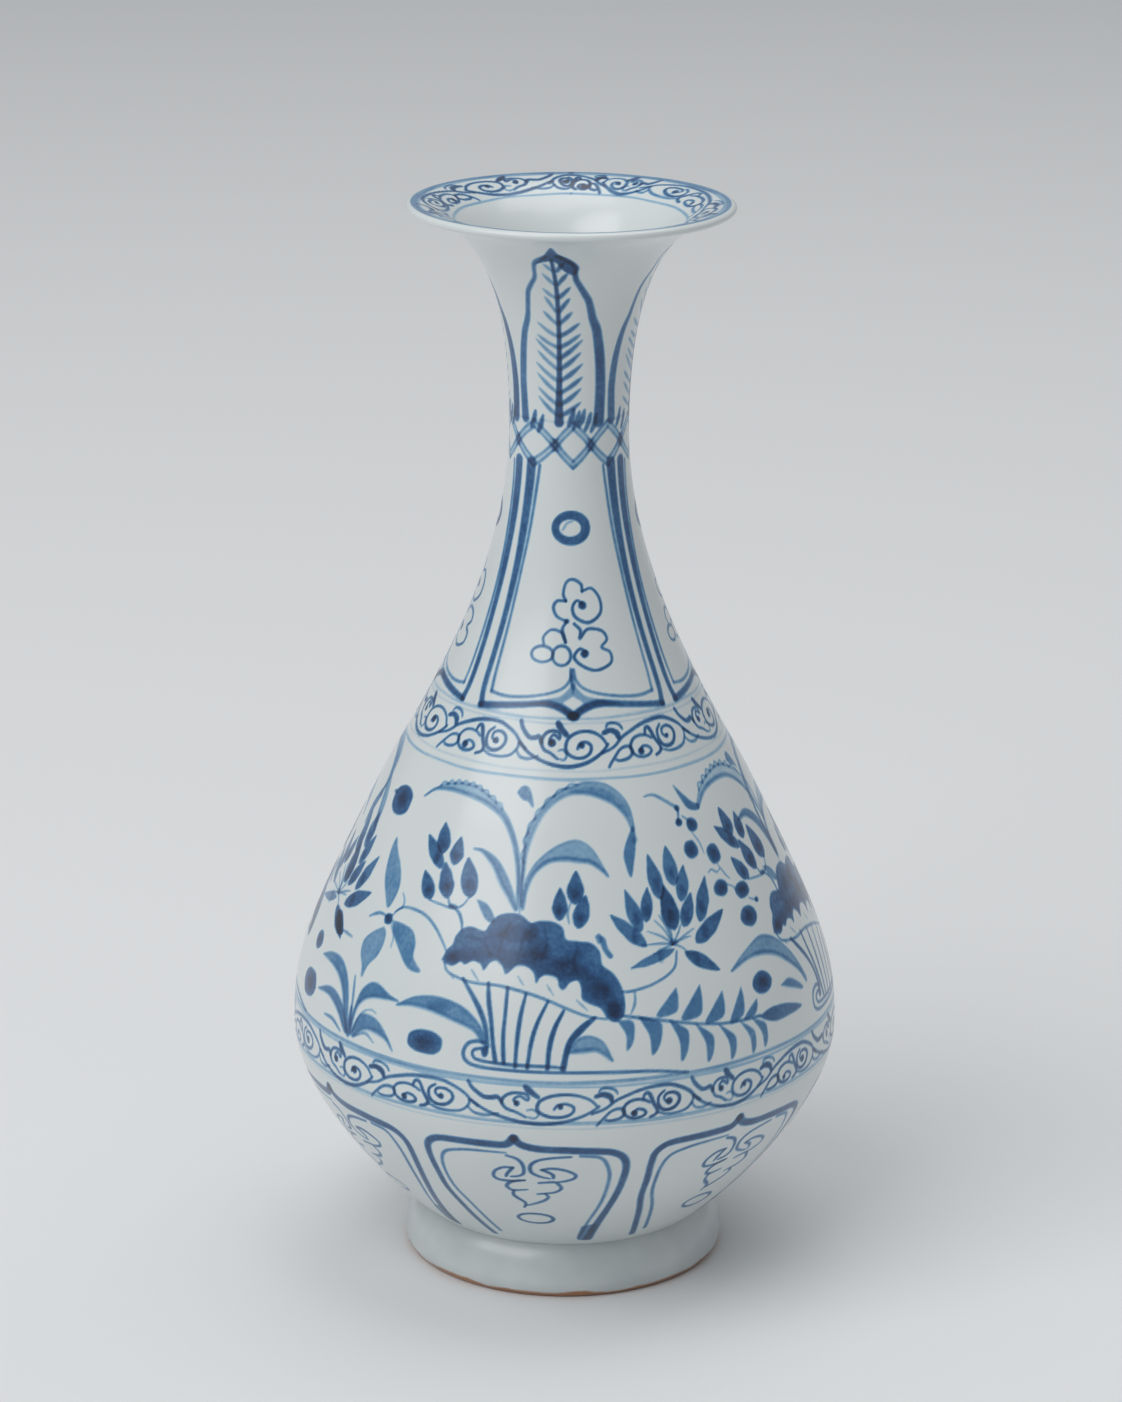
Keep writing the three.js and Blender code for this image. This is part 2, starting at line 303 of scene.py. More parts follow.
def panel(c, wide):
    # long panel on the shoulder; wide scales its half width of 44.4 degrees
    k = wide / 44.4
    for sign in (-1, 1):
        p = spline([(c + sign * k * u, v) for u, v in ((40.4, 224.4), (41.8, 212), (42.6, 200), (43.6, 185),
            (44.4, 172), (44.2, 166), (43, 162.6))])
        thick = np.interp(np.linspace(0, 1, len(p)), [0, .2, .5, .9, 1], [2.9, 2.5, 1.7, 1.5, 1.7])
        strokes["out"].append(("line", p, thick, 0.68, 0.7))
        brush([(c + sign * k * u, v) for u, v in ((31, 224), (33.6, 216), (36, 206), (38.2, 196),
            (39.4, 184), (40, 172), (39.6, 166.4))], 0.8, 0.5, ends=(1, 1), soft=0.6)
        brush([(c + sign * k * u, v) for u, v in ((39.6, 166), (30, 165.6), (16, 166.6), (6, 168.2),
            (1.6, 170.4), (.4, 173))], 0.75, 0.5, ends=(1, .8), soft=0.6)
        brush([(c + sign * k * u, v) for u, v in ((43.4, 162.4), (36, 163), (24, 164), (12, 164.8),
            (5, 163.8), (0, 161.9))], 1.7, 0.7, ends=(0.9, 0.9), soft=0.7)
    for sign in (-1, 1):
        patch([(c + sign * k * u, v) for u, v in ((20, 164.4), (12, 165.8), (6, 166.6), (2.4, 168.2),
            (0, 169.6), (0, 166.8), (4.4, 165), (0, 163.2), (0, 161), (3, 161.9), (8, 163.4), (14, 164))],
            0.34, soft=0.7)
    oval(c, 161.9, 1.7, 1.2, 0.75, 0.4)
    patch([(c - 1.4, 169.4), (c, 172), (c + 1.4, 169.4), (c, 168)], 0.3)
    a = c - 1
    hoop(a, 208.2, 4.0, 3.4, 2.2, 0.72)
    brush([(a - 6.5, 207.6), (a - 3, 209.4), (a + 2, 210)], 0.8, 0.25)
    for points, width in (([(-3, 189.8), (-4.8, 191.6), (-3, 194.4), (1.6, 195.2), (7, 194), (7.6, 192.2)],
            0.75), ([(7.6, 192.2), (14, 192.8), (19, 190.2), (18.6, 186.6), (10.8, 184.4), (3, 185.8),
            (1.2, 188.2), (3.9, 189.9), (7.4, 189.2)], 0.75), ([(-3, 189.8), (-8.4, 189.8), (-10.8, 188.2),
            (-8.4, 186), (-2.6, 184.8)], 0.75), ([(-2.2, 184.8), (-4.8, 182.8), (-2.8, 179.6)], 0.8),
            ([(2, 184.2), (5.6, 182.6), (5.2, 180.6), (9.8, 182.8), (18, 182.2), (20.6, 180), (17, 178.2),
            (21.4, 176.8), (21, 174.2), (13, 172.7), (5.9, 173.9), (1.8, 176), (4.8, 178), (8.4, 177.3)],
            0.75), ([(-2.8, 179.6), (-5.2, 182), (-11.3, 182.6), (-15.4, 180.8), (-14.8, 179)], 0.7)):
        brush(moved(points, a), width, 0.68, ends=(0.85, 0.8))
    oval(a + 7.4, 188.7, 1.0, 1.0, 0.9, 0.2)
    oval(a + 7.4, 176.8, 1.0, 1.0, 0.9, 0.2)
    oval(a - 2.4, 184.8, 0.7, 0.6, 0.6, 0)
    hoop(a - 15.2, 176.6, 2.9, 2.1, 0.7, 0.62)
    hoop(a - 4.8, 176.4, 2.4, 2.6, 0.7, 0.62)
    brush([(a - .4, 173.4), (a, 171.4), (a + .6, 169)], 0.7, 0.5)


def lappet(c, wide, strong=1.0):
    # upright panel over the foot; wide scales its half width of 22.3 degrees
    k = wide / 22.3
    side = [(-16.6, 17.3), (-18.9, 23.5), (-20.6, 29.8), (-22.1, 36), (-22.3, 42.3), (-22.5, 48.5),
        (-22, 52.4), (-19.6, 54.8), (-15.4, 55.4), (-8.5, 55.6), (-3.9, 56), (-2, 58.3)]
    back = [(-2, 58.3), (-.5, 56.3), (3, 55.2), (8.7, 54.9), (14.5, 54.5), (18.5, 53.9), (21.1, 52),
        (22.2, 48.5), (22, 42.3), (21.1, 36), (19.7, 29.8), (18.2, 23.5), (17.1, 17.3)]
    for points in (side, back):
        p = spline([(c + u * k, v) for u, v in points])
        s = np.linspace(0, 1, len(p))
        thick = np.interp(s, [0, .3, .6, .8, 1], [1.6, 1.6, 2.0, 2.2, 2.2] if points is side else [2.2, 2.3,
                                                                                                   1.9, 1.8,
                                                                                                   2.4])
        strokes["out"].append(("line", p, thick, 0.78 * strong, 0.7))
    for points in ([(-13.1, 19.4), (-14.9, 24.1), (-17.2, 31), (-19.5, 37.3), (-20, 43.5), (-19.5, 48),
            (-18, 50.8), (-14.8, 52.2), (-10.8, 52.9), (-4, 53.2)], [(12, 53), (16.2, 52.2), (18, 49.1),
            (18.8, 44.8), (18.5, 38.5), (17.6, 32.9), (15.6, 26), (14.5, 21), (13.9, 17.6)]):
        brush([(c + u * k, v) for u, v in points], 1.0, 0.55 * strong, ends=(0.9, 0.5), soft=0.6)
    patch([(c + u * k, v) for u, v in ((14, 24), (18.4, 24.6), (17.4, 17.4), (13.4, 17.4))], 0.45 * strong)
    inside = [[(-3.9, 52.3), (-1.6, 51.3), (-.5, 49.1), (-.6, 46.3), (-1.9, 45.1), (-3.6, 44.7)],
        [(-2.8, 48.1), (-5.1, 47.9), (-7.1, 46.3), (-7.7, 44.4), (-6.8, 43.2), (-4.5, 43), (-2.2, 43.3),
        (-.5, 43.7)], [(-2.9, 48), (-4.2, 46), (-4.8, 44.6)], [(-.6, 43.6), (-2.4, 43.2), (-4.2, 42.3),
        (-5.1, 40.7), (-3.9, 39.4), (-1.6, 39.7), (-.2, 40)], [(-3.6, 39.4), (-3.9, 37.6), (-3.1, 36.3),
        (-1.3, 34.4), (-1.9, 32.3)], [(9.9, 52.7), (6.4, 52.3), (3, 51.3), (1.2, 49.4), (1.2, 46.9),
        (3, 45.4), (5.3, 44.7)], [(3.5, 47.9), (5.8, 48.5), (8.7, 47.9), (11, 46.3), (10.7, 44.8),
        (8.7, 43.8), (7, 43.4)], [(3.8, 47.8), (5.9, 46.3), (6.1, 44.8)], [(2.7, 42.9), (5.3, 43.3),
        (6.7, 43.2), (7.9, 41), (6.4, 39.4), (4.1, 38.8), (2.1, 38.4)], [(4.1, 38.5), (4.7, 37.3),
        (3.5, 35.7), (.7, 34.1), (-1.3, 33.2)]]
    for points in inside:
        brush([(c + u * min(k, 1.05), v) for u, v in points], 0.95, 0.7 * strong, ends=(0.8, 0.6))
    hoop(c + .6, 27.6, 4.7, 2.9, 0.95, 0.72 * strong)


def blade(low, top, tone=0.3, under=0.35, over=0.3):
    # bent leaf between a lower and an upper edge, heavier along the lower one
    fill(list(low) + list(top)[::-1], tone, "out", 0.7)
    brush(low, 1.3, under, ends=(0.4, 0.5), soft=0.8)
    brush(top, 0.6, over, ends=(0.4, 0.5), soft=0.6)


def lotusLeaf(c):
    # scalloped leaf over its ribbed underside, with a curl at the foot
    top = [(-29.4, 102.1), (-28.6, 104.6), (-27.4, 106.2), (-27, 108.3), (-25.6, 110.2), (-23.4, 111),
        (-20, 110.4), (-18.9, 112), (-17, 114.4), (-13.8, 115.3), (-11, 115), (-8.6, 113.4), (-6.4, 113.9),
        (-3, 113.8), (-.6, 112.4), (.2, 109.8), (3, 109.3), (6.2, 108.8), (8.2, 106.7), (8.6, 103.6),
        (11, 101.4), (12.6, 98.4), (13.2, 94.6), (12.8, 91.5), (11.2, 89.8)]
    low = [(9.3, 90.6), (7.9, 93.2), (6, 94.2), (3.9, 95.6), (3.7, 98), (3, 100), (1.2, 99.6), (-.2, 97.9),
        (-1.2, 98.6), (-1.8, 100.8), (-4, 101.4), (-5.6, 100.6), (-6.4, 99.3), (-7, 101.6), (-8.6, 103),
        (-11, 103.3), (-12.6, 101.6), (-13.6, 101), (-14.4, 102.8), (-16, 104), (-17.6, 103), (-18.7, 101.3),
        (-19.6, 102.6), (-21.6, 103.2), (-23.4, 102), (-24.6, 102.6), (-26.4, 101.2), (-28, 101.4)]
    at = lambda points: moved(points, c)
    patch(at(top + low), 0.66)
    # darker lower half and pooled folds
    patch(at([(-28.6, 102.6), (-26, 105), (-21, 106), (-17, 107.6), (-12, 106.4), (-7, 107), (-2, 105.4),
        (3, 104.6), (6, 102), (9, 99.4), (12, 94), (11, 90.6), (8, 94), (4.6, 97), (3.6, 100.4), (-1, 100.4),
        (-5, 102), (-9, 103.6), (-13, 102.4), (-16.6, 104), (-21, 103.4), (-25.6, 102.4)]), 0.3, soft=1.6)
    for t, z, wide, tall, tone in ((-12.5, 110.5, 4.4, 2.0, .25), (-8, 110.8, 1.6, 2.2, .45), (-6, 107, 2.6,
            2.2, .35), (-17.5, 109, 2.4, 1.4, .2), (2, 105.6, 2.4, 1.4, .25), (8.4, 97.6, 2.6, 1.8, .3),
            (10.8, 92.6, 1.6, 2.0, .4), (-26.6, 103.2, 1.6, 1.4, .4), (-.6, 104, 2.0, 1.6, .25)):
        oval(c + t, z, wide, tall, tone, 0, "out", 1.6)
    for points in ([(-24, 108.6), (-20, 108), (-17.4, 105)], [(-13.6, 113), (-15.2, 109), (-15.6, 105)],
            [(-5, 112), (-4.4, 108), (-6, 104)], [(-9.6, 112), (-10.4, 108), (-11, 104.6)], [(3, 108),
            (2, 104), (3, 101.6)]):
        brush(at(points), 0.7, 0.28, soft=0.9)
    patch(at([(8.4, 110.6), (9.6, 109.8), (10.2, 107.4), (11.3, 105.6), (10.4, 105), (9.2, 106.6),
        (8.6, 108.2)]), 0.5)
    patch(at([(7.2, 110.4), (8.3, 111), (8.9, 109.4), (8, 108.6)]), 0.45)
    patch(at([(-23.1, 117.4), (-20.6, 116.8), (-18.6, 114.8), (-17.9, 112.8), (-19.8, 113.2), (-21.4, 115)]),
        0.42, rim=0.2)
    rim = [(-28.6, 101.6), (-27, 99.4), (-21.1, 98), (-14.7, 98), (-8.4, 96.8), (-3.6, 95.2), (.3, 93.4),
        (5, 91.4), (8.9, 90.6)]
    brush(at(rim), 0.75, 0.5, ends=(0.8, 0.8))
    ribs = [([(-23.3, 98.6), (-21, 95.6), (-18.6, 92), (-16.9, 88), (-16, 83)], 1.2, 0.7),
        ([(-17.2, 98.4), (-16.6, 94), (-15.7, 89.6), (-14.9, 84), (-14.2, 79.6)], 1.1, 0.72),
        ([(-12.7, 97.8), (-12.7, 92), (-12.8, 86), (-12.4, 79.2)], 0.95, 0.72), ([(-8.5, 96.6), (-9.4, 91),
        (-9.8, 85), (-10, 78.4)], 1.0, 0.7), ([(-3.6, 95), (-5.6, 90), (-6.8, 85), (-7.5, 78.3)], 0.95,
        0.72), ([(-.2, 92.8), (-2, 88.6), (-3, 84), (-3.4, 78.3)], 1.15, 0.76), ([(6.4, 91), (3.6, 88.4),
        (1, 84.6), (-.2, 78.3)], 1.6, 0.85)]
    for points, width, tone in ribs:
        brush(at(points), width, tone, ends=(0.6, 1.0), soft=0.55)
    for points in ([(-21.6, 101), (-19.6, 98.6)], [(-10.6, 100.6), (-9.2, 98.6)], [(-4, 99), (-2.4, 96.4)],
            [(2.6, 95.4), (5, 92.8)], [(-26.4, 99), (-25.4, 98)]):
        brush(at(points), 0.5, 0.35)
    oval(c - 16.5, 81.6, 0.9, 1.5, 0.7, 0.3)
    for points, width, tone in (([(-16.6, 83.6), (-18.2, 84), (-20.2, 83.1), (-21.1, 80.8), (-20.4, 78.6),
            (-17.6, 77.5), (-10, 77.3), (0, 77.3), (8, 77.2), (18, 76.6), (26, 75)], 1.0, 0.62),
            ([(-17.4, 82.3), (-18.9, 81.6), (-19, 80.2), (-17.6, 79.2), (-12, 78.8), (-4, 78.8), (0, 78.6)],
            0.85, 0.62)):
        brush(at(points), width, tone, ends=(0.8, 0.6))


def ruffle(points, rise, tone=0.34):
    # small loops along a leaf's upper edge, each bulging outwards by rise from its chord
    for a, b in zip(points[:-1], points[1:]):
        across, along = metric("out", a[1])
        run = np.array([(b[0] - a[0]) * across, (b[1] - a[1]) * along])
        out = np.array([-run[1], run[0]]) / np.hypot(*run) * rise
        brush([a, shift("out", (a[0] + b[0]) / 2, (a[1] + b[1]) / 2, *out), b], 0.5, tone, ends=(1, 1),
              soft=0.5)


def arches(c, whole=True):
    # tall bent leaves that spring from behind the lotus leaf; the left ones only when whole
    low = [(-50.8, 138.2), (-47.2, 140.6), (-40.1, 141.6), (-32.2, 141.2), (-25.8, 140.1), (-20.3, 137.8),
        (-16.7, 134.1), (-14.3, 129.2), (-12.9, 123.3), (-12.4, 116.4)]
    top = [(-50.8, 138.3), (-45.7, 141.6), (-42.8, 142.6), (-40, 143.1), (-37.2, 143.5), (-34.4, 143.6),
        (-31.6, 143.5), (-28.8, 142.9), (-26, 141.9), (-23.2, 140.7), (-20.4, 139.2), (-17.9, 137.2),
        (-15.3, 133.6), (-13.2, 128.3), (-12.4, 120)]
    if whole:
        blade(moved(low, c), moved(top, c), 0.22, 0.34, 0.34)
        ruffle(moved(top[1:11], c), 0.9)
    low = [(-11.4, 117), (-11.5, 125), (-11, 131), (-8.6, 137), (-5, 141), (.5, 143.6), (6.9, 143.8),
        (13.2, 142.1), (17.2, 139.8), (19.2, 137.4), (20.2, 134.6)]
    top = [(-11.6, 118), (-11.8, 126), (-11.8, 133.6), (-10.4, 136.7), (-8, 139.8), (-5.2, 142.5),
        (-1.2, 144.7), (2.6, 145.6), (6.9, 146.4), (13.2, 145.8), (18, 143.2), (20.4, 139.8), (21, 135)]
    blade(moved(low, c), moved(top, c), 0.26, 0.2, 0.34)
    ruffle(moved([(-11.9, 127.4), (-11.8, 131), (-11.3, 134.4), (-9.7, 137.8), (-7.2, 140.7), (-4, 143.2),
        (-.2, 145), (3.6, 145.9)], c), 0.8)
    patch(moved([(1, 144.6), (7, 145.6), (13, 144.8), (17.6, 142.4), (20, 139), (19.4, 138), (15, 141.4),
        (8, 143.6), (2, 144)], c), 0.2, soft=1.2)
    patch(moved([(20.4, 135.4), (18.2, 132.4), (16.8, 129.4), (17, 126.6), (18, 123.8), (19.2, 127),
        (20.3, 130.4), (20.9, 134)], c), 0.5, rim=0.15)
    oval(c + 20.5, 132.4, 0.8, 0.9, 0.3, 0, "out", 1.0)
    low = [(-27, 129.2), (-24.2, 128.8), (-20.3, 125.9), (-17.9, 122.6), (-15.1, 119.2), (-13, 116.2)]
    top = [(-27, 129.3), (-23.5, 129.2), (-19.5, 127.5), (-16.3, 124.2), (-13.9, 120.2), (-12.6, 116.4)]
    if whole:
        blade(moved(low, c), moved(top, c), 0.42, 0.2, 0.15)
    low = [(-10.8, 116.4), (-10.2, 121.6), (-8.2, 125.6), (-4.4, 128.1), (.3, 128.6), (3, 128.3),
        (6.9, 127.8), (10.1, 125.8), (11.5, 124.4)]
    top = [(-11.2, 117), (-11, 122), (-9, 126.6), (-5, 130.2), (-1, 132.2), (2.9, 133), (6.1, 132),
        (8.9, 129.2), (11.5, 124.6)]
    blade(moved(low, c), moved(top, c), 0.3, 0.34, 0.2)
    brush(moved([(-12, 130), (-12, 122), (-11.6, 115.6)], c), 0.8, 0.3, soft=0.8)
    patch(moved([(-16.3, 143.6), (-15, 145), (-13, 145), (-11.6, 143.4), (-10.6, 140.6), (-12.4, 141.8),
        (-14.4, 142.2)], c), 0.45, rim=0.15)


def bud(c, dz=0.0, strong=1.0):
    # half-opened lotus: six petals round dark hearts, on a thin stem
    for tip, base, width in (((-38.7, 133.8), (-36.7, 126.6), 4.0), ((-32, 131.3), (-32.2, 124.6), 3.9),
            ((-43.4, 130), (-35.6, 123.2), 3.6), ((-40.9, 121.6), (-36.6, 115.4), 4.0), ((-35, 124.7),
            (-31.7, 116.6), 4.3), ((-28.2, 126.9), (-25.2, 117.8), 5.2)):
        spindle((c + tip[0], tip[1] + dz), (c + base[0], base[1] + dz), width, 0.66 * strong, 0.42)
    for points in ([(-36.9, 115.2), (-33, 114.8), (-29.4, 114.6), (-27, 115.6), (-25.4, 118)],
            [(-31.4, 116.6), (-30.6, 115.2), (-29.6, 114.8)]):
        brush([(c + u, v + dz) for u, v in points], 0.6, 0.5)
    brush([(c - 29.6, 115 + dz), (c - 27.4, 113.6 + dz), (c - 26.2, 111.6 + dz), (c - 25.7, 109.6)], 0.8, 0.5)
    oval(c - 29.6, 115 + dz, 1.3, 0.6, 0.45, 0)


def smallBud(c):
    for tip, base, width in (((2.8, 125.8), (2.5, 118), 4.1), ((-1.4, 121.8), (-1.4, 114.2), 3.7),
            ((5.3, 120), (3.1, 112.4), 4.2)):
        spindle((c + tip[0], tip[1]), (c + base[0], base[1]), width, 0.68, 0.42)
    brush([(c + 1.4, 118.4), (c + .6, 116), (c + 1, 113.4)], 0.6, 0.4)


def openLotus(c, dz=0.0):
    # twelve pointed petals and a spray of filaments; c moves it from its first place at 26 degrees
    for tip, base, width, tone in (((11.4, 115.2), (19.6, 107.2), 3.6, .58), ((15.8, 120.8), (18.8, 110.8),
            3.5, .6), ((22, 120.8), (20.4, 112.9), 3.2, .62), ((23.7, 128.5), (25.5, 117.6), 4.0, .6),
            ((26.7, 120.8), (27.5, 110), 5.0, .8), ((29.7, 129.8), (29.9, 120.4), 4.2, .56), ((34, 124.6),
            (31, 116.4), 3.6, .58), ((34.3, 117.9), (30.2, 110.4), 3.6, .66), ((40, 120.8), (35, 110.8), 3.8,
            .6), ((42.8, 112.2), (32.6, 106.2), 4.2, .66), ((37.3, 98.5), (29.2, 104.4), 3.4, .68),
            ((15.2, 102.3), (26.4, 105.6), 2.3, .5)):
        spindle((c + tip[0], tip[1] + dz), (c + base[0], base[1] + dz), width, tone, 0.32)
    for t, z in ((20.4, 110.6), (18.6, 107.4), (22.6, 113), (25.6, 112), (29.4, 111), (31.6, 108), (21, 105),
            (30, 104), (24, 114), (33, 109.6)):
        brush([(c + 26.4, 106.8 + dz), (c + (26.4 + t) / 2 + .4, (107.4 + z) / 2 + dz), (c + t, z + dz)],
              0.5, 0.45)
    oval(c + 26.6, 107.2 + dz, 1.3, 0.8, 0.4, 0)


def lotusStem(c):
    brush([(c + 27, 105), (c + 25.5, 101), (c + 20.4, 98.2), (c + 14.8, 96.9), (c + 12.8, 97)], 0.75, 0.5)
    brush([(c + 15.6, 96.6), (c + 15.4, 94), (c + 14.4, 91.6)], 0.7, 0.4)


def waterPlant(c):
    # three broad leaves and tendrils round a dark node
    patch(moved([(-56, 126.5), (-53.6, 123.8), (-50.4, 120.8), (-48.4, 117.6), (-48, 114.4), (-49.3, 110.4),
        (-51.4, 112.6), (-54.2, 116.4), (-55.6, 120), (-56.4, 124)], c), 0.4, rim=0.16)
    patch(moved([(-48.5, 105.6), (-51.2, 103.8), (-53.6, 101), (-53.4, 98), (-51.6, 95), (-50.7, 92.4),
        (-49.8, 95.6), (-47.8, 98.6), (-47, 102), (-47.4, 104.6)], c), 0.38, rim=0.16)
    patch(moved([(-46.3, 107.8), (-43.3, 107.9), (-39.5, 107.1), (-37.6, 104.4), (-37.2, 101), (-34.4, 98.1),
        (-37.9, 98.3), (-41.6, 101.8), (-44.6, 105)], c), 0.46, rim=0.16)
    oval(c - 47.9, 107.9, 1.5, 1.5, 0.9, 0.3)
    for points, width, tone in (([(-48.6, 108.3), (-51, 108.5), (-53, 107.8), (-54.9, 106.6)], 0.9, 0.42),
            ([(-47, 109), (-44.9, 111.4), (-41.7, 112.1), (-36.9, 111.5), (-33, 109.2), (-29.8, 105.8),
            (-28.6, 104)], 0.75, 0.42), ([(-46.4, 110.2), (-44.6, 111.6), (-44.6, 113.4), (-46, 115)], 0.55,
            0.32), ([(-46.6, 107), (-44.6, 104.6), (-44.3, 101.6)], 0.6, 0.32)):
        brush(moved(points, c), width, tone)


def grass(c):
    for low, top, tone in (([(-68.3, 91.9), (-63.1, 91.6), (-59.1, 90.3), (-56, 87.4), (-53.6, 82),
            (-52, 77)], [(-68.3, 92), (-64.7, 93.8), (-59.9, 94), (-56, 91.4), (-53.2, 86), (-51.4, 77)],
            0.46), ([(-65.9, 83.6), (-61.5, 84.1), (-58.3, 83.2), (-55.2, 80.8), (-52.6, 77)],
            [(-65.9, 83.7), (-61.5, 85.9), (-57.6, 85.5), (-54, 82.6), (-51.6, 77.6)], 0.5),
            ([(-38.5, 89.7), (-41.6, 89.5), (-45.7, 88.7), (-48.4, 87), (-49.9, 84), (-50.6, 77)],
            [(-38.5, 89.8), (-41.4, 90.7), (-44.9, 92.2), (-47.6, 91.5), (-49.8, 88), (-50.9, 80)], 0.5),
            ([(-38, 77), (-40, 79.4), (-43.3, 80.4), (-46.5, 80), (-49.4, 77)], [(-38, 77.1), (-39.8, 80.2),
            (-42.5, 83), (-45.3, 83.9), (-48.4, 83), (-50.4, 77.6)], 0.46)):
        blade(moved(low, c), moved(top, c), tone, 0.2, 0.15)
    for points, width, tone in (([(-52.8, 91.8), (-51.6, 86), (-51, 77)], 0.8, 0.45),
            ([(-61, 78.6), (-57.4, 78.6), (-54, 76.6)], 0.9, 0.5), ([(-50, 78), (-48, 83.6), (-45.4, 85.4),
            (-43.6, 85)], 0.55, 0.35), ([(-49.6, 76.8), (-46, 79), (-43.2, 77.4)], 0.7, 0.4),
            ([(-51.4, 84), (-51.2, 80), (-51.2, 76.4)], 1.6, 0.45)):
        brush(moved(points, c), width, tone, soft=0.6)


def doubleLeaf(c, dz=0.0):
    # bent leaf beside the basket, dark near its tip
    low = [(-38.4, 88.8), (-34.6, 89.8), (-29.8, 89.7), (-24.2, 88.3), (-19.5, 86.6), (-17, 83.6)]
    top = [(-38.4, 88.9), (-34.6, 91.7), (-29.8, 93), (-25, 92.6), (-21.1, 90.9), (-17.9, 87.6), (-16.6, 84)]
    blade([(c + u, v + dz) for u, v in low], [(c + u, v + dz) for u, v in top], 0.44, 0.22, 0.25)
    oval(c - 28, 91 + dz, 3.4, 1.2, 0.22, 0, "out", 1.4)


def fern(c):
    # stem with triangular leaflets, straight on the stem side and bulging outwards
    brush(moved([(12.4, 91.2), (20.4, 89.3), (28.3, 87.1), (36.2, 85.4), (45.8, 84.6)], c), 0.8, 0.45,
          ends=(1, 1))
    for tip, root, foot in (((25.3, 96.4), (20, 90.2), (24.4, 90.6)), ((31.2, 96.1), (25.6, 88.6),
            (30, 88.8)), ((36.6, 93.4), (31.2, 86.6), (35.6, 87.2)), ((42, 93), (37.4, 85.2), (41, 86.2)),
            ((45.8, 89), (41.2, 85), (44.2, 85.4))):
        patch(moved([tip, ((tip[0] + root[0]) / 2 - .2, (tip[1] + root[1]) / 2 + .2), root, foot,
                     ((tip[0] + foot[0]) / 2 + .5, (tip[1] + foot[1]) / 2)], c), 0.52, rim=0.12)
    for tip, root, bulge in (((13, 82.6), (11.4, 90), (14.8, 88)), ((18.4, 80.9), (16, 90.6), (20.9, 87)),
            ((24.7, 78.2), (22.8, 88.8), (26.8, 84.4)), ((30.8, 76.8), (28.7, 86.9), (32.6, 82)),
            ((36.6, 76), (34.4, 85.4), (38.2, 80.4)), ((42.4, 75.8), (40, 84.8), (43.6, 80.2)), ((46, 76.4),
            (43.4, 84.6), (47.2, 80.8))):
        mid = ((root[0] + tip[0]) / 2 + .9, (root[1] + tip[1]) / 2)
        patch(moved([root, (bulge[0] - .6, bulge[1] + 1.8), bulge, ((bulge[0] + tip[0]) / 2 + .4,
                                                                    (bulge[1] + tip[1]) / 2 - .8),
                     tip, mid], c), 0.5, rim=0.14)
    patch(moved([(45.6, 84.4), (48, 85.2), (50.5, 85.5), (55.3, 84.7), (60.8, 82.1), (55, 81.6),
        (50.5, 81.7), (47.4, 83)], c), 0.62)


def berries(c):
    patch(moved([(38.2, 143.3), (39.6, 142), (41.8, 139.9), (44, 138.2), (45.8, 137.6), (45.4, 136.6),
        (43, 136.7), (41, 137.6), (39.6, 140)], c), 0.55, rim=0.15)
    brush(moved([(26.3, 142), (28.4, 142.2), (30.7, 141.7), (34.7, 139.5), (37, 137.9), (36.6, 136),
        (36.2, 134.8)], c), 0.85, 0.4)
    for t, z, wide, tall in ((37, 138, .7, .7), (36.3, 134.7, 1.0, 1.0), (40.8, 133.4, 1.8, 1.9),
            (38.1, 127.8, 2.2, 2.4), (45.6, 125.4, 2.3, 2.7), (44.4, 117.1, 2.5, 2.2), (51.7, 115, 2.9, 2.2),
            (50.9, 108.6, 3.2, 2.7), (55.9, 111.4, .7, .6)):
        oval(c + t, z, wide, tall, 0.7, 0.42)
    for points in ([(38, 136), (39.4, 135), (41, 133.6)], [(40, 131.6), (41.6, 129), (42.2, 126)],
            [(41.6, 121.4), (43, 122), (44.6, 121), (46, 121.6)], [(45.8, 122.6), (47.6, 119.6),
            (48.6, 118.6)], [(46.6, 117.6), (48.6, 116.6), (49.4, 115.4)], [(53, 112.6), (54.6, 111.8),
            (56, 111.2)]):
        brush(moved(points, c), 0.5, 0.4)


def sideArch(c):
    # arch with a rope-like upper edge, and the lower bent leaf under it
    low = [(45.4, 136.9), (50.5, 140.2), (58.4, 141.6), (66.4, 140.8), (72.7, 137.4), (77, 132), (79, 126)]
    top = [(45.2, 137.6), (48.4, 140.6), (51.4, 142), (54.4, 143), (57.6, 143.7), (60.8, 144.1), (64, 144),
        (67.2, 143.4), (70.3, 142.2), (75, 139.8), (79.6, 134.6), (80.4, 127)]
    blade(moved(low, c), moved(top, c), 0.14, 0.42, 0.42)
    ruffle(moved(top[1:10], c), 1.2, 0.42)
    low = [(61.2, 130.2), (66.4, 130.3), (71.4, 127), (74.4, 122), (76, 117)]
    top = [(61.2, 130.4), (66.4, 131.8), (71.9, 129.6), (76.6, 124), (77.6, 118)]
    blade(moved(low, c), moved(top, c), 0.46, 0.25, 0.2)
    low = [(40.6, 97.4), (45.8, 99.1), (50.5, 99.2), (55.3, 97.8), (59.2, 95), (63.2, 90.8), (65, 87)]
    top = [(40.6, 97.6), (44.2, 100), (48.9, 102.2), (52.9, 103), (57.6, 100.9), (62.4, 95.2), (65.6, 88)]
    blade(moved(low, c), moved(top, c), 0.36, 0.3, 0.3)
    low = [(54.9, 89.5), (58.4, 87.9), (62.4, 86)]
    top = [(54.9, 89.7), (58.4, 90.2), (62.6, 86.9)]
    blade(moved(low, c), moved(top, c), 0.5, 0.1, 0.1)


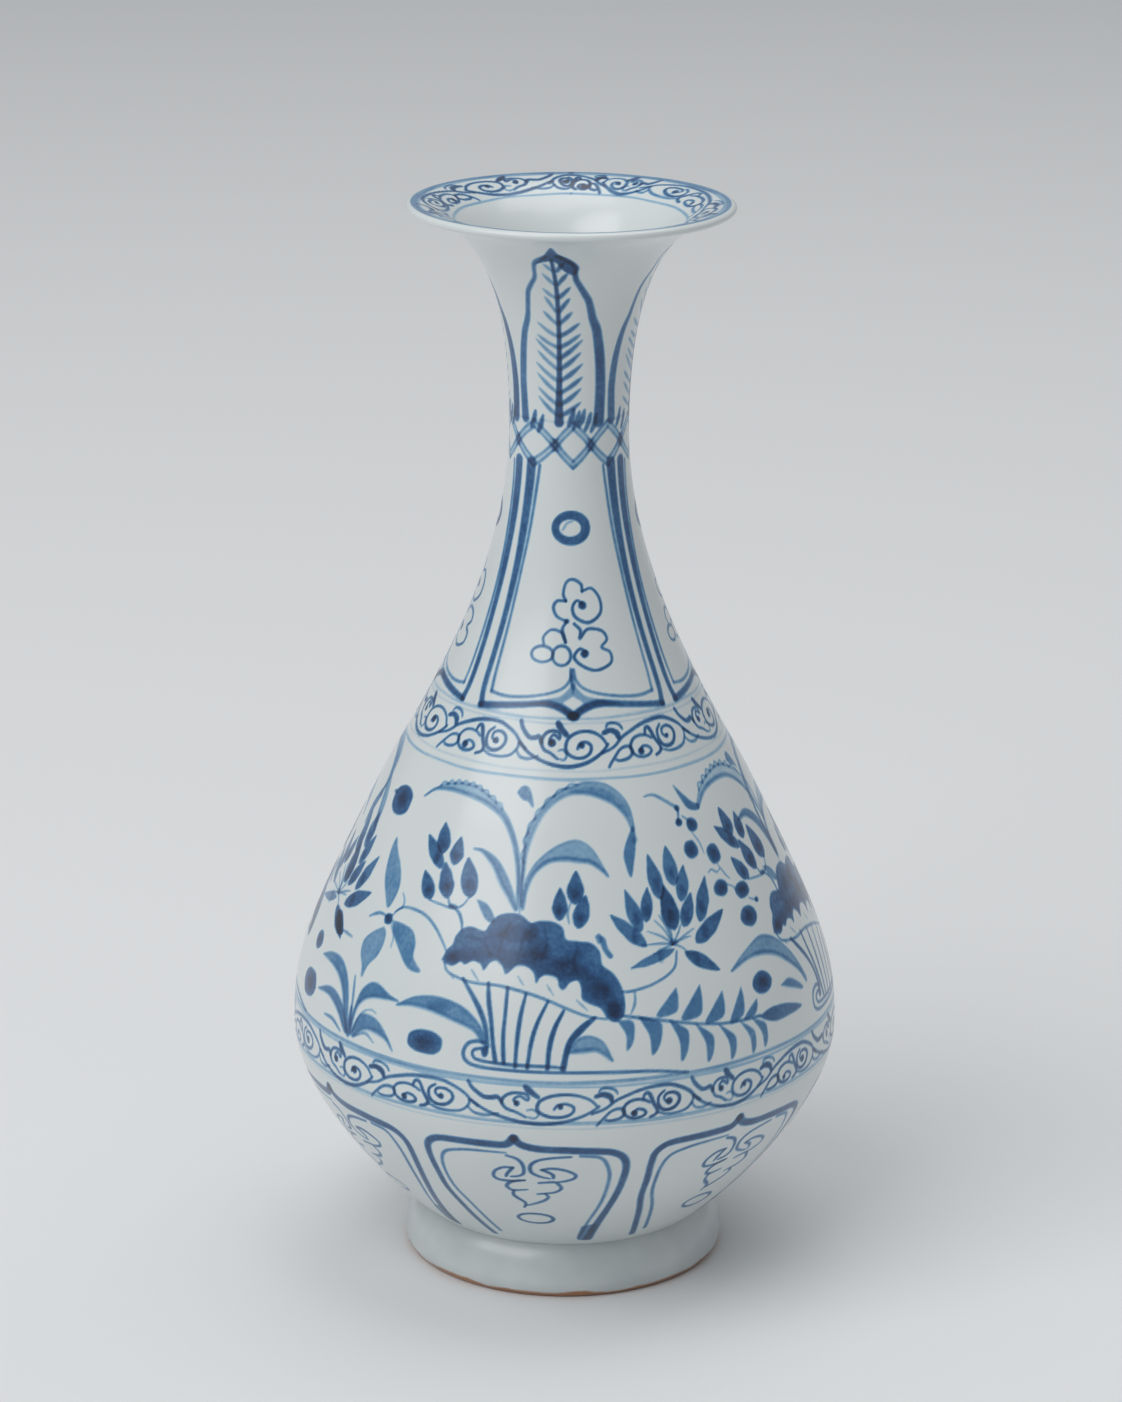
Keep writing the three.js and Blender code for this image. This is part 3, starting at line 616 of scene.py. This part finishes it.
def basketLeaf(c):
    low = [(1, 82.4), (4, 82.8), (6.9, 82.8), (9.8, 80.2)]
    top = [(1.2, 83.4), (2.9, 85.8), (5.3, 86.5), (8.1, 84.8), (9.9, 80.4)]
    blade(moved(low, c), moved(top, c), 0.36, 0.25, 0.3)


def pondHalf(c, back):
    # two lotus clumps a quarter turn apart, and what grows between; the back is drawn looser
    sway = (lambda size: rng.uniform(-size, size)) if back else (lambda size: 0.0)
    lotusLeaf(c + sway(2))
    arches(c + sway(2))
    smallBud(c + sway(2))
    bud(c + sway(1.5))
    waterPlant(c + sway(1))
    grass(c)
    doubleLeaf(c)
    basketLeaf(c)
    openLotus(c + sway(1.5))
    lotusStem(c)
    fern(c)
    berries(c + sway(1))
    sideArch(c)
    lotusLeaf(c + 87.4)
    arches(c + 87.4, False)
    bud(c + 92.6, 1.4)
    smallBud(c + 88)
    openLotus(c - (92.5 if back else 100.5), -.5)
    for t, z, wide, tall in ((-61.1, 135, 4.6, 4.1), (-30.2, 81.5, 5.4, 3.2), (48.8, 92.3, 3.9, 2.9),
                             (-73.4, 93.8, 2.7, 2.5),
                             (-71.4, 82.9, 4.9, 3.8)):
        oval(c + t, z, wide, tall, 0.72, 0.42)
    patch(moved([(-69.4, 103.4), (-67, 103.6), (-64.4, 101.4), (-63, 99.2), (-65.4, 98.6), (-67.8, 100),
        (-69.2, 102)], c), 0.95)
    brush(moved([(-64, 100), (-61.6, 100.2), (-58.4, 100)], c), 0.7, 0.4)
    patch(moved([(-65.2, 135.8), (-66.6, 136.4), (-67.8, 135.8), (-66.4, 135.4)], c), 0.5)


def paintAll():
    # pale double lines that edge the bands, painted on the wheel
    for h, width, tone in ((161.4, 1.0, 0.16), (160.2, 0.7, 0.12), (149.1, 0.8, 0.10), (147.1, 0.9, 0.20),
            (74.7, 1.0, 0.34), (73.6, 0.8, 0.22), (63.3, 1.1, 0.24), (61.9, 0.7, 0.12), (236.0, 0.7, 0.12)):
        band(h, width, tone)
    scroll(149.8, 160.2, [-55, -19, 16, 52, 87, 124, 161, 197, 233, 269, 305])
    scroll(62.8, 73.3, [-43, -19.5, 7, 27, 45, 64, 88, 110, 134, 156, 180, 203, 227, 250, 274, 298, 317],
           weight=1.1,
           width=0.95)
    lattice([-57, -13, 21, 58, 94, 131, 167, 204, 236, 269], 224.6, 235.0)
    for k in range(4):
        plantain((-9.6 + 90 * k + 180) % 360 - 180)
    for c, wide in ((2.8, 44.4), (93.4, 39.6), (182, 41), (-90.6, 39.8)):
        panel(c, wide)
    for c, wide in ((-8.3, 22.3), (41.6, 21.8), (-57.6, 21.6), (94, 23.4), (146, 23), (198, 23.2), (250, 23)):
        lappet(c, wide, rng.uniform(0.92, 1.05))
    pondHalf(0, False)
    pondHalf(176, True)
    blade([(-76, 136.6), (-73.6, 132.6), (-71.6, 128), (-69.6, 124.8)], [(-76, 138.6), (-72.4, 135.4),
        (-70, 131), (-69.4, 125.2)], 0.3, 0.25, 0.2)
    # upper face of the mouth, where height means the radius
    band(41.0, 1.7, 0.42, "in")
    band(39.8, 0.8, 0.30, "in")
    band(30.4, 0.6, 0.30, "in")
    scroll(31.0, 39.6, [88, 143, 166, 188, 232, 275, 310, 345, 385, 415, 448], "in", 1.15, 1.0)


def rasterise(zone, heights, radii, stretch, columns):
    # cobalt density of each grid point: the greatest cover of each stroke, added up stroke by stroke
    step = 360 / columns
    angles = -180 + step * np.arange(columns)
    canvas = np.zeros((len(heights), columns))
    for kind, p, wide, tone, soft in strokes[zone]:
        pad = 2.2 if kind == "fill" else wide.max() / 2 + 1.2
        h0 = np.searchsorted(heights, p[:, 1].min() - pad)
        h1 = np.searchsorted(heights, p[:, 1].max() + pad)
        if h1 - h0 < 1:
            continue
        across = radii[h0:h1].min() * rad
        for turn in (-360, 0, 360):
            q = p + np.array([turn, 0])
            c0 = max(0, int((q[:, 0].min() - pad / across + 180) / step))
            c1 = min(columns, int((q[:, 0].max() + pad / across + 180) / step) + 2)
            if c1 - c0 < 1:
                continue
            cover = strokeCover(kind, q, wide, soft, heights[h0:h1], radii[h0:h1], stretch[h0:h1],
                                angles[c0:c1], pad)
            view = canvas[h0:h1, c0:c1]
            view += tone * cover * (1 - 0.45 * np.clip(view, 0, 1))
    return canvas


def strokeCover(kind, p, wide, soft, heights, radii, stretch, angles, pad):
    # cover = (half width - distance) / soft + 0.5, distance measured in mm on the wall
    best = np.full((len(heights), len(angles)), -9.0)
    inside = np.zeros(best.shape, bool)
    ends = np.roll(p, -1, axis=0) if kind == "fill" else p[1:]
    across = radii * rad
    step = angles[1] - angles[0] if len(angles) > 1 else 1
    for i in range(len(ends)):
        a, b = p[i], ends[i]
        r0 = np.searchsorted(heights, min(a[1], b[1]) - pad)
        r1 = np.searchsorted(heights, max(a[1], b[1]) + pad)
        if kind == "fill":
            cross = (heights > min(a[1], b[1])) & (heights <= max(a[1], b[1]))
            if cross.any():
                at = a[0] + (b[0] - a[0]) * (heights[cross] - a[1]) / (b[1] - a[1] + 1e-12)
                inside[cross] ^= angles[None, :] < at[:, None]
        if r1 <= r0:
            continue
        m = across[r0:r1, None]
        g = stretch[r0:r1, None]
        reach = pad / across[r0:r1].min()
        c0 = max(0, int((min(a[0], b[0]) - reach - angles[0]) / step))
        c1 = min(len(angles), int((max(a[0], b[0]) + reach - angles[0]) / step) + 2)
        if c1 <= c0:
            continue
        x = (angles[None, c0:c1] - a[0]) * m
        y = (heights[r0:r1, None] - a[1]) * g
        bx, by = (b[0] - a[0]) * m, (b[1] - a[1]) * g
        u = np.clip((x * bx + y * by) / (bx * bx + by * by + 1e-9), 0, 1)
        away = np.hypot(x - u * bx, y - u * by)
        near = -away if kind == "fill" else (wide[i] + (wide[i + 1] - wide[i]) * u) / 2 - away
        best[r0:r1, c0:c1] = np.maximum(best[r0:r1, c0:c1], near)
    if kind == "fill":
        best = np.where(inside, -best, best)
    return np.clip(best / soft + 0.5, 0, 1)


# meshes
def meshFrom(name, points, faces, corners=None):
    mesh = bpy.data.meshes.new(name)
    mesh.from_pydata(points, [], faces)
    mesh.update()
    piece = bpy.data.objects.new(name, mesh)
    bpy.context.scene.collection.objects.link(piece)
    mesh.polygons.foreach_set("use_smooth", np.ones(len(mesh.polygons), bool))
    if corners is not None:
        layer = mesh.uv_layers.new(name="OFBake")
        layer.data.foreach_set("uv", corners.astype(np.float32).ravel())
    return piece


def cornerNormals(profile, flat, lean, sine, cosine, i, i2, j, j2):
    # normals of the profile's rows, square to the wall; the faces in flat keep their own
    ahead = np.roll(profile, -1, axis=0) - profile
    ahead /= np.hypot(*ahead.T)[:, None]
    own = np.column_stack([ahead[:, 1], -ahead[:, 0]])
    before = np.roll(own, 1, axis=0)
    level = np.isin(np.arange(len(profile)), flat)
    rows = np.where(level[:, None], before, np.where(np.roll(level, 1)[:, None], own, own + before))
    if len(lean):
        rows[:len(lean)] = lean
    rows /= np.hypot(*rows.T)[:, None]
    near, far = np.where(level[i][:, None], own[i], rows[i]), np.where(level[i][:, None], own[i], rows[i2])
    corners = [(near, j), (near, j2), (far, j2), (far, j)]
    return np.stack([np.column_stack([n[:, 0] * sine[c], -n[:, 0] * cosine[c], n[:, 1]]) for n,
                     c in corners], 1)


def loopRing(name, profile, columns, cobalt, flat, lean=()):
    # closed loop of (radius, height) turned round the axis; flat lists the rows whose faces are flat
    rows = len(profile)
    angle = (-180 + 360 / columns * np.arange(columns)) * rad
    x = profile[:, 0, None] * np.sin(angle)
    y = -profile[:, 0, None] * np.cos(angle)
    z = np.repeat(profile[:, 1, None], columns, axis=1)
    points = np.stack([x, y, z], -1).reshape(-1, 3) / 1000
    i = np.repeat(np.arange(rows), columns)
    j = np.tile(np.arange(columns), rows)
    i2, j2 = (i + 1) % rows, (j + 1) % columns
    faces = np.column_stack([i * columns + j, i * columns + j2, i2 * columns + j2, i2 * columns + j])
    u0, u1, v0, v1 = j / columns, (j + 1) / columns, i / rows, (i + 1) / rows
    corners = np.stack([u0, v0, u1, v0, u1, v1, u0, v1], -1).reshape(-1, 2)
    piece = meshFrom(name, points, faces, corners)
    normals = cornerNormals(profile, flat, lean, np.sin(angle), np.cos(angle), i, i2, j, j2)
    piece.data.normals_split_custom_set(normals.reshape(-1, 3).tolist())
    paint = piece.data.attributes.new("cobalt", "FLOAT", "POINT")
    paint.data.foreach_set("value", cobalt.astype(np.float32).ravel())
    return piece


def wallRing(spec):
    # one band of the wall: fine painted outside, plain inside
    out = cut(outer, spec["low"], spec["high"], spec["pitch"])
    back = cut(inner, max(spec["low"], floorTop), spec["high"], innerPitch)[::-1]
    painted = rasterise("out", out[:, 1], out[:, 0], stretchAt(out[:, 1]), spec["columns"])
    profile = np.vstack([out, back])
    cobalt = np.vstack([painted, np.zeros((len(back), spec["columns"]))])
    return loopRing(spec["name"], profile, spec["columns"], cobalt, [len(out) - 1, len(profile) - 1],
                    leanAt(out[:, 1]))


def lipRing(spec):
    # the flare with its rolled lip and the painted upper face
    out = cut(outer, spec["low"], outer[-1, 1], spec["pitch"])
    top = cut(inner, spec["low"], inner[-1, 1], spec["pitch"])[::-1]
    low, high = outer[-1], inner[-1]
    mid, up = (low + high) / 2, (high - low) / 2
    side = np.array([up[1], -up[0]]) / np.hypot(*up) * walls["reach"]
    a = (np.arange(1, 12) / 12 * 180 - 90) * rad
    lip = mid + np.cos(a)[:, None] * side + np.sin(a)[:, None] * up
    under = rasterise("out", out[:, 1], out[:, 0], stretchAt(out[:, 1]), spec["columns"])
    rise = top[::-1]
    over = rasterise("in", rise[:, 0], rise[:, 0], np.full(len(rise), mouthStretch), spec["columns"])[::-1]
    profile = np.vstack([out, lip, top])
    cobalt = np.vstack([under, np.zeros((len(lip), spec["columns"])), over])
    return loopRing(spec["name"], profile, spec["columns"], cobalt, [len(profile) - 1], leanAt(out[:, 1]))


def plate(name, profile, columns):
    # profile from the axis and back to it, closed with a fan at each pole
    body = profile[1:-1]
    rows = len(body)
    angle = 2 * math.pi / columns * np.arange(columns)
    ring = np.stack([body[:, 0, None] * np.sin(angle), -body[:, 0, None] * np.cos(angle),
                     np.repeat(body[:, 1, None], columns, axis=1)], -1).reshape(-1, 3)
    points = np.vstack([ring, [0, 0, profile[0, 1]], [0, 0, profile[-1, 1]]]) / 1000
    j = np.arange(columns)
    j2 = (j + 1) % columns
    faces = [[rows * columns, int(b), int(a)] for a, b in zip(j, j2)]
    for i in range(rows - 1):
        faces += [[int(i * columns + a), int(i * columns + b), int((i + 1) * columns + b),
                   int((i + 1) * columns + a)]
                  for a, b in zip(j, j2)]
    last = (rows - 1) * columns
    faces += [[rows * columns + 1, int(last + a), int(last + b)] for a, b in zip(j, j2)]
    piece = meshFrom(name, points, faces)
    paint = piece.data.attributes.new("cobalt", "FLOAT", "POINT")
    paint.data.foreach_set("value", np.zeros(len(points), np.float32))
    return piece


# materials
def group(name, inputs, outputs):
    tree = bpy.data.node_groups.new(name, "ShaderNodeTree")
    for label, kind, value in inputs:
        socket = tree.interface.new_socket(label, in_out="INPUT", socket_type=kind)
        socket.default_value = value
    for label, kind in outputs:
        tree.interface.new_socket(label, in_out="OUTPUT", socket_type=kind)
    return tree


def math2(nodes, links, how, a, b):
    node = nodes.new("ShaderNodeMath")
    node.operation = how
    for socket, value in zip(node.inputs, (a, b)):
        if isinstance(value, (int, float)):
            socket.default_value = value
        else:
            links.new(value, socket)
    return node.outputs[0]


def noise(nodes, links, source, scale, detail=3.0):
    node = nodes.new("ShaderNodeTexNoise")
    node.inputs["Scale"].default_value = scale
    node.inputs["Detail"].default_value = detail
    links.new(source, node.inputs["Vector"])
    return node.outputs[0]


def mix(nodes, links, factor, a, b):
    node = nodes.new("ShaderNodeMix")
    node.data_type = "RGBA"
    links.new(factor, node.inputs["Factor"])
    for socket, value in ((node.inputs[6], a), (node.inputs[7], b)):
        if isinstance(value, tuple):
            socket.default_value = value
        else:
            links.new(value, socket)
    return node.outputs[2]


def ramp(nodes, links, source, stops):
    node = nodes.new("ShaderNodeValToRGB")
    links.new(source, node.inputs[0])
    while len(node.color_ramp.elements) < len(stops):
        node.color_ramp.elements.new(0.5)
    for element, (at, colour) in zip(node.color_ramp.elements, stops):
        element.position = at
        element.color = colour
    return node.outputs[0]


def srgb(r, g, b):
    # display value to linear light
    return tuple(((c / 255 + 0.055) / 1.055) ** 2.4 if c > 10 else c / 3294 for c in (r, g, b)) + (1.0,)


def glazeGroup():
    # clear bluish glaze: slow tint changes, iron specks and a faint orange-peel height
    tree = group("glazeSkin", [("Vector", "NodeSocketVector", (0, 0, 0))],
                 [("Color", "NodeSocketColor"), ("Speck", "NodeSocketFloat"), ("Height", "NodeSocketFloat")])
    nodes, links = tree.nodes, tree.links
    start, end = nodes.new("NodeGroupInput"), nodes.new("NodeGroupOutput")
    place = start.outputs["Vector"]
    tint = noise(nodes, links, place, 22, 2)
    colour = mix(nodes, links, tint, srgb(205, 212, 213), srgb(216, 221, 220))
    cells = nodes.new("ShaderNodeTexVoronoi")
    cells.inputs["Scale"].default_value = 115
    links.new(place, cells.inputs["Vector"])
    size = nodes.new("ShaderNodeTexWhiteNoise")
    links.new(cells.outputs["Position"], size.inputs["Vector"])
    rare = math2(nodes, links, "SUBTRACT", size.outputs[0], 0.90)
    reach = math2(nodes, links, "MULTIPLY", rare, 1.1)
    near = math2(nodes, links, "SUBTRACT", reach, cells.outputs["Distance"])
    speck = math2(nodes, links, "MULTIPLY", near, 30)
    clear = math2(nodes, links, "MINIMUM", math2(nodes, links, "MAXIMUM", speck, 0), 1)
    links.new(colour, end.inputs["Color"])
    links.new(clear, end.inputs["Speck"])
    links.new(noise(nodes, links, place, 150, 2), end.inputs["Height"])
    return tree


skin = glazeGroup()


def newMaterial(name, rough, coat):
    material = bpy.data.materials.new(name)
    material.use_nodes = True
    nodes, links = material.node_tree.nodes, material.node_tree.links
    shader = nodes["Principled BSDF"]
    shader.inputs["Roughness"].default_value = rough
    shader.inputs["Coat Weight"].default_value = coat
    shader.inputs["Coat Roughness"].default_value = 0.16
    return material, nodes, links, shader


gloss = dict(rough=0.3, coat=0.35, bump=0.06, depth=0.0006)
paint = dict(grain=900, grainShare=0.55, cloud=160, cloudShare=0.5, least=0.5, depth=0.75, cover=6)
# the last two burn entries set the foot's grey patches: painted shade, partly pooled glaze
burn = dict(patches=90, wander=-0.003, height=0.0004, sharp=1500, poolAndShadeScale=60, poolAndShadeShare=0.75)


def cobaltOver(nodes, links, place, under):
    # density = cobalt (least + share of grain + share of cloud), coloured by a ramp and laid over the glaze
    cobalt = nodes.new("ShaderNodeAttribute")
    cobalt.attribute_name = "cobalt"
    grain = math2(nodes, links, "MULTIPLY", noise(nodes, links, place, paint["grain"], 3),
                  paint["grainShare"])
    cloud = math2(nodes, links, "MULTIPLY", noise(nodes, links, place, paint["cloud"], 3),
                  paint["cloudShare"])
    vary = math2(nodes, links, "ADD", grain, math2(nodes, links, "ADD", cloud, paint["least"]))
    deep = math2(nodes, links, "MULTIPLY", cobalt.outputs["Fac"], vary)
    tone = math2(nodes, links, "MULTIPLY", deep, paint["depth"])
    colour = ramp(nodes, links, tone, ((0.0, srgb(196, 210, 216)), (0.16, srgb(140, 176, 200)),
        (0.36, srgb(70, 120, 162)), (0.56, srgb(34, 80, 126)), (0.78, srgb(14, 48, 86)), (1.0, srgb(5, 24,
        50))))
    cover = math2(nodes, links, "MINIMUM", math2(nodes, links, "MULTIPLY", deep, paint["cover"]), 1)
    return mix(nodes, links, cover, under, colour)


def burntEdge(nodes, links, place, under):
    # burnt below a wandering height, and greyer in noise patches: partly pooled glaze, mostly painted shade
    # of the foot ring
    split = nodes.new("ShaderNodeSeparateXYZ")
    links.new(place, split.inputs[0])
    wander = math2(nodes, links, "MULTIPLY", noise(nodes, links, place, burn["patches"], 3), burn["wander"])
    edge = math2(nodes, links, "ADD", split.outputs["Z"], wander)
    low = math2(nodes, links, "MULTIPLY", math2(nodes, links, "SUBTRACT", burn["height"], edge),
                burn["sharp"])
    burnt = math2(nodes, links, "MINIMUM", math2(nodes, links, "MAXIMUM", low, 0), 1)
    # painted shade: grey noise patches darken the foot ring's colour, with some pooled glaze
    poolAndShade = math2(nodes, links, "MULTIPLY", noise(nodes, links, place, burn["poolAndShadeScale"], 2), burn["poolAndShadeShare"])
    grey = mix(nodes, links, poolAndShade, under, srgb(158, 168, 170))
    return mix(nodes, links, burnt, grey, srgb(158, 108, 70))


def glazed(name, foot=False):
    material, nodes, links, shader = newMaterial(name, gloss["rough"], gloss["coat"])
    place = nodes.new("ShaderNodeTexCoord").outputs["Object"]
    use = nodes.new("ShaderNodeGroup")
    use.node_tree = skin
    links.new(place, use.inputs["Vector"])
    base = use.outputs["Color"] if foot else cobaltOver(nodes, links, place, use.outputs["Color"])
    base = mix(nodes, links, use.outputs["Speck"], base, srgb(92, 72, 58))
    if foot:
        base = burntEdge(nodes, links, place, base)
    links.new(base, shader.inputs["Base Color"])
    bump = nodes.new("ShaderNodeBump")
    bump.inputs["Strength"].default_value = gloss["bump"]
    bump.inputs["Distance"].default_value = gloss["depth"]
    links.new(use.outputs["Height"], bump.inputs["Height"])
    links.new(bump.outputs[0], shader.inputs["Normal"])
    return material


paintAll()
print("strokes", len(strokes["out"]), len(strokes["in"]))
glaze = glazed("paintedGlaze")
footGlaze = glazed("footGlaze", True)

rings = [
    dict(name="bowlLow", low=14.0, high=30.0, pitch=0.42, columns=1040, nodes=["lower_body"]),
    dict(name="bowlMid", low=30.0, high=48.0, pitch=0.42, columns=1120, nodes=["lower_body"]),
    dict(name="bowlHigh", low=48.0, high=69.6, pitch=0.42, columns=1160,
         nodes=["lower_body"]),
    dict(name="bellyLow", low=69.6, high=92.0, pitch=0.42, columns=1160,
         nodes=["belly_slip", "upper_body"]),
    dict(name="bellyHigh", low=92.0, high=114.0, pitch=0.42, columns=1100,
         nodes=["upper_body"]),
    dict(name="shoulderLow", low=114.0, high=138.0, pitch=0.42, columns=960,
         nodes=["upper_body"]),
    dict(name="shoulderHigh", low=138.0, high=166.0, pitch=0.42, columns=760,
         nodes=["upper_body"]),
    dict(name="neckLow", low=166.0, high=205.0, pitch=0.4, columns=560,
         nodes=["shoulder_slip", "neck"]),
    dict(name="neckHigh", low=205.0, high=250.0, pitch=0.38, columns=420, nodes=["neck"]),
    dict(name="flare", low=250.0, high=272.0, pitch=0.4, columns=460,
         nodes=["mouth_slip", "mouth"])]
for spec in rings:
    piece = wallRing(spec)
    piece.data.materials.append(glaze)
    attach(piece, "root")
    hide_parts(*spec["nodes"])
    print(spec["name"], len(piece.data.polygons))

lip = lipRing(dict(name="lip", low=272.0, pitch=0.44, columns=600))
lip.data.materials.append(glaze)
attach(lip, "root")
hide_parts("mouth")
print("lip", len(lip.data.polygons))

floor = dict(under=shape["start"], top=floorTop, hub=20, gap=0.02, columns=128)
floorEdge = float(np.interp(floor["top"], inner[:, 1], inner[:, 0])) - floor["gap"]
base = plate("base", np.array([[0, floor["under"]], [floor["hub"], floor["under"]],
                               [floorEdge, floor["under"]],
                               [floorEdge, floor["top"]], [floor["hub"], floor["top"]], [0, floor["top"]]]),
             floor["columns"])
base.data.materials.append(glaze)
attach(base, "root")
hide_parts("lower_body")

# foot ring with its slip joint: bulging side, trimmed edge, tapered bore
foot = dict(high=13.98, wide=43.7, joint=39.3, bulge=4.0, bevel=1.8, swell=0.8, trim=0.6, bore=34.5,
            boreTop=32.5,
            boreMid=7.0, columns=360)
t = np.linspace(0, 1, 26)[:, None]
side = ((1 - t) ** 2 * np.array([foot["wide"], foot["bulge"]]) + 2 * t * (1 - t) *
        np.array([foot["wide"] - foot["bevel"] / 2, foot["high"] - foot["bulge"] / 2 - foot["swell"]]) +
        t ** 2 * np.array([foot["joint"], foot["high"]]))
turn = np.linspace(0, 1, 6)[:, None]
edge = ((1 - turn) ** 2 * np.array([foot["wide"] - foot["bevel"] - foot["trim"],
                                    0.0]) + 2 * turn * (1 - turn) *
        np.array([foot["wide"], 0.0]) + turn ** 2 * np.array([foot["wide"], foot["bulge"]]))
bore = np.array([[foot["boreTop"], foot["high"]], [(foot["bore"] + foot["boreTop"]) / 2, foot["boreMid"]],
                 [foot["bore"], 0.0]])
loop = np.vstack([edge, side[1:], bore])
bare = np.zeros((len(loop), foot["columns"]))
ring = loopRing("footRing", loop, foot["columns"], bare, [len(loop) - 4, len(loop) - 1])
ring.data.materials.append(footGlaze)
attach(ring, "root")
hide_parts("foot_ring", "foot_slip")
print("foot", len(ring.data.polygons))


# stage: pale floor, soft studio light, camera at the photograph's angle
def flatPlane(name, size, colour):
    piece = meshFrom(name, [(-size, -size, 0), (size, -size, 0), (size, size, 0), (-size, size, 0)],
                     [(0, 1, 2, 3)])
    material, nodes, links, shader = newMaterial(name, 0.8, 0.0)
    shader.inputs["Base Color"].default_value = colour
    piece.data.materials.append(material)
    return piece


def areaLight(name, place, target, size, power):
    light = bpy.data.lights.new(name, "AREA")
    light.energy = power
    light.size = size
    lamp = bpy.data.objects.new(name, light)
    away = np.array(place, float) - np.array(target, float)
    away /= np.linalg.norm(away)
    right = np.cross([0, 0, 1], away)
    right /= np.linalg.norm(right)
    up = np.cross(away, right)
    matrix = Matrix([[right[i], up[i], away[i], place[i]] for i in range(3)] + [[0, 0, 0, 1]])
    lamp.matrix_world = matrix
    bpy.context.scene.collection.objects.link(lamp)


studio = dict(floorHalf=6.0, floorColour=srgb(228, 229, 230), aim=(0, 0, 0.15), sky=srgb(226, 229, 232),
              skyPower=0.45)
lights = dict(key=dict(place=(-1.6, -1.5, 2.4), size=2.6, power=54), top=dict(place=(0.3, 0.5, 2.6),
                                                                              size=2.0, power=20))
flatPlane("floor", studio["floorHalf"], studio["floorColour"])
for name, lamp in lights.items():
    areaLight(name, lamp["place"], studio["aim"], lamp["size"], lamp["power"])
world = bpy.data.worlds.new("studio")
world.use_nodes = True
world.node_tree.nodes["Background"].inputs[0].default_value = studio["sky"]
world.node_tree.nodes["Background"].inputs[1].default_value = studio["skyPower"]
bpy.context.scene.world = world
bpy.context.scene.view_settings.view_transform = "Standard"

view = dict(distance=1.1684, height=0.5169, pitch=17.2, roll=0.46, focal=4552, tall=1402, offset=6)
lens = bpy.data.cameras.new("photoAngle")
lens.sensor_width = 36
lens.lens = 36 * view["focal"] / view["tall"]
lens.shift_x = -view["offset"] / view["tall"]
camera = bpy.data.objects.new("photoAngle", lens)
camera.matrix_world = (Matrix.Translation((0, -view["distance"], view["height"])) @
                       Matrix.Rotation((90 - view["pitch"]) * rad, 4, "X") @
                       Matrix.Rotation(view["roll"] * rad, 4, "Z"))
bpy.context.scene.collection.objects.link(camera)
bpy.context.scene.camera = camera
